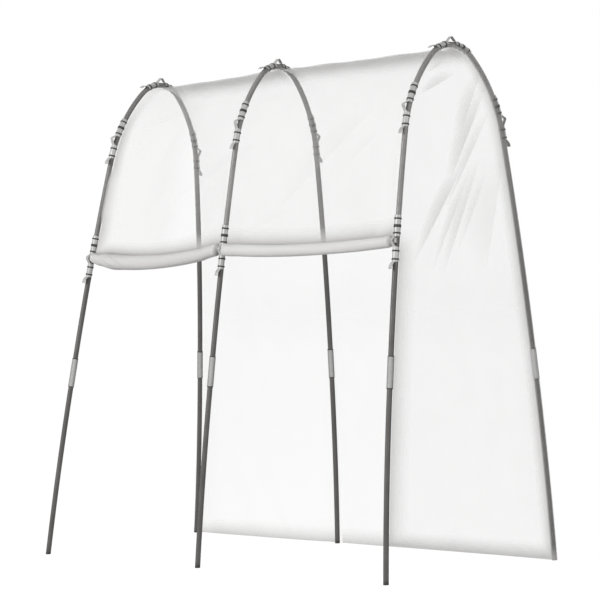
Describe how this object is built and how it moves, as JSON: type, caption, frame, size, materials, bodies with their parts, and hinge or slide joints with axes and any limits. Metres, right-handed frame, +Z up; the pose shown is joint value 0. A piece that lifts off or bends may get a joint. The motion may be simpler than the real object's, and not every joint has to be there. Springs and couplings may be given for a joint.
{
  "type": "tomato polytunnel",
  "caption": "Tall narrow garden tunnel: arched tube hoops under a clear film cover held by snap clips, with the front rolled up and one end closed.",
  "frame": {"origin": "centre of the object's box, on the ground plane that the feet stand on", "axes": "+X along the tunnel towards the closed end, +Y away from the open front, +Z up"},
  "size_m": [1.8088, 0.8244, 1.8309],
  "materials": {
    "tube_grey": "satin",
    "sleeve_grey": "satin",
    "plug_black": "matte",
    "clip_grey": "satin",
    "film_clear": "clear film"
  },
  "bodies": {
    "frame": {"left_arch_tube": "tube_grey", "left_front_leg_tube": "tube_grey", "left_front_sleeve": "sleeve_grey", "left_front_foot_plug": "plug_black", "left_rear_leg_tube": "tube_grey", "left_rear_sleeve": "sleeve_grey", "left_rear_foot_plug": "plug_black", "left_crown_clip_grip": "clip_grey", "left_front_upper_clip_grip": "clip_grey", "left_front_lower_clip_grip": "clip_grey", "left_rear_upper_clip_grip": "clip_grey", "middle_arch_tube": "tube_grey", "middle_front_leg_tube": "tube_grey", "middle_front_sleeve": "sleeve_grey", "middle_front_foot_plug": "plug_black", "middle_rear_leg_tube": "tube_grey", "middle_rear_sleeve": "sleeve_grey", "middle_rear_foot_plug": "plug_black", "middle_crown_clip_grip": "clip_grey", "middle_front_upper_clip_grip": "clip_grey", "middle_front_lower_clip_grip": "clip_grey", "middle_rear_upper_clip_grip": "clip_grey", "right_arch_tube": "tube_grey", "right_front_leg_tube": "tube_grey", "right_front_sleeve": "sleeve_grey", "right_front_foot_plug": "plug_black", "right_rear_leg_tube": "tube_grey", "right_rear_sleeve": "sleeve_grey", "right_rear_foot_plug": "plug_black", "right_crown_clip_grip": "clip_grey", "right_front_upper_clip_grip": "clip_grey", "right_front_lower_clip_grip": "clip_grey", "right_rear_upper_clip_grip": "clip_grey", "cover_roof": "film_clear", "cover_front": "film_clear", "cover_back": "film_clear", "end_panel": "film_clear", "curtain_roll": "film_clear"},
    "left_crown_arm": {"left_crown_clip_arm": "clip_grey"},
    "left_front_upper_arm": {"left_front_upper_clip_arm": "clip_grey"},
    "left_front_lower_arm": {"left_front_lower_clip_arm": "clip_grey"},
    "left_rear_upper_arm": {"left_rear_upper_clip_arm": "clip_grey"},
    "middle_crown_arm": {"middle_crown_clip_arm": "clip_grey"},
    "middle_front_upper_arm": {"middle_front_upper_clip_arm": "clip_grey"},
    "middle_front_lower_arm": {"middle_front_lower_clip_arm": "clip_grey"},
    "middle_rear_upper_arm": {"middle_rear_upper_clip_arm": "clip_grey"},
    "right_crown_arm": {"right_crown_clip_arm": "clip_grey"},
    "right_front_upper_arm": {"right_front_upper_clip_arm": "clip_grey"},
    "right_front_lower_arm": {"right_front_lower_clip_arm": "clip_grey"},
    "right_rear_upper_arm": {"right_rear_upper_clip_arm": "clip_grey"}
  },
  "joints": [
    {"name": "left_crown_clip_release", "type": "hinge", "parent": "frame", "child": "left_crown_arm", "pos_m": [-0.6149, 0.0149, 1.79463], "axis": [-0.9885, 0, 0.1513], "range_deg": [0, 75]},
    {"name": "left_front_upper_clip_release", "type": "hinge", "parent": "frame", "child": "left_front_upper_arm", "pos_m": [-0.64735, -0.21784, 1.58256], "axis": [-0.9885, 0, 0.1513], "range_deg": [0, 75]},
    {"name": "left_front_lower_clip_release", "type": "hinge", "parent": "frame", "child": "left_front_lower_arm", "pos_m": [-0.71583, -0.30104, 1.13504], "axis": [-0.9885, 0, 0.1513], "range_deg": [0, 75]},
    {"name": "left_rear_upper_clip_release", "type": "hinge", "parent": "frame", "child": "left_rear_upper_arm", "pos_m": [-0.6525, 0.22675, 1.54894], "axis": [0.9885, 0, -0.1513], "range_deg": [0, 75]},
    {"name": "middle_crown_clip_release", "type": "hinge", "parent": "frame", "child": "middle_crown_arm", "pos_m": [-0.00582, 0.01944, 1.81251], "axis": [-0.9974, -0.0435, 0.0576], "range_deg": [0, 75]},
    {"name": "middle_front_upper_clip_release", "type": "hinge", "parent": "frame", "child": "middle_front_upper_arm", "pos_m": [-0.008, -0.21361, 1.59833], "axis": [-0.9974, -0.0435, 0.0576], "range_deg": [0, 75]},
    {"name": "middle_front_lower_clip_release", "type": "hinge", "parent": "frame", "child": "middle_front_lower_arm", "pos_m": [-0.03041, -0.29787, 1.14635], "axis": [-0.9974, -0.0435, 0.0576], "range_deg": [0, 75]},
    {"name": "middle_rear_upper_clip_release", "type": "hinge", "parent": "frame", "child": "middle_rear_upper_arm", "pos_m": [-0.02935, 0.23047, 1.56437], "axis": [0.9974, 0.0435, -0.0576], "range_deg": [0, 75]},
    {"name": "right_crown_clip_release", "type": "hinge", "parent": "frame", "child": "right_crown_arm", "pos_m": [0.79721, 0.02022, 1.81512], "axis": [-0.9893, 0.1443, -0.0209], "range_deg": [0, 75]},
    {"name": "right_front_upper_clip_release", "type": "hinge", "parent": "frame", "child": "right_front_upper_arm", "pos_m": [0.76806, -0.21073, 1.60063], "axis": [-0.9893, 0.1443, -0.0209], "range_deg": [0, 75]},
    {"name": "right_front_lower_clip_release", "type": "hinge", "parent": "frame", "child": "right_front_lower_arm", "pos_m": [0.76543, -0.29443, 1.148], "axis": [-0.9893, 0.1443, -0.0209], "range_deg": [0, 75]},
    {"name": "right_rear_upper_clip_release", "type": "hinge", "parent": "frame", "child": "right_rear_upper_arm", "pos_m": [0.83294, 0.2291, 1.56663], "axis": [0.9893, -0.1443, 0.0209], "range_deg": [0, 75]}
  ]
}
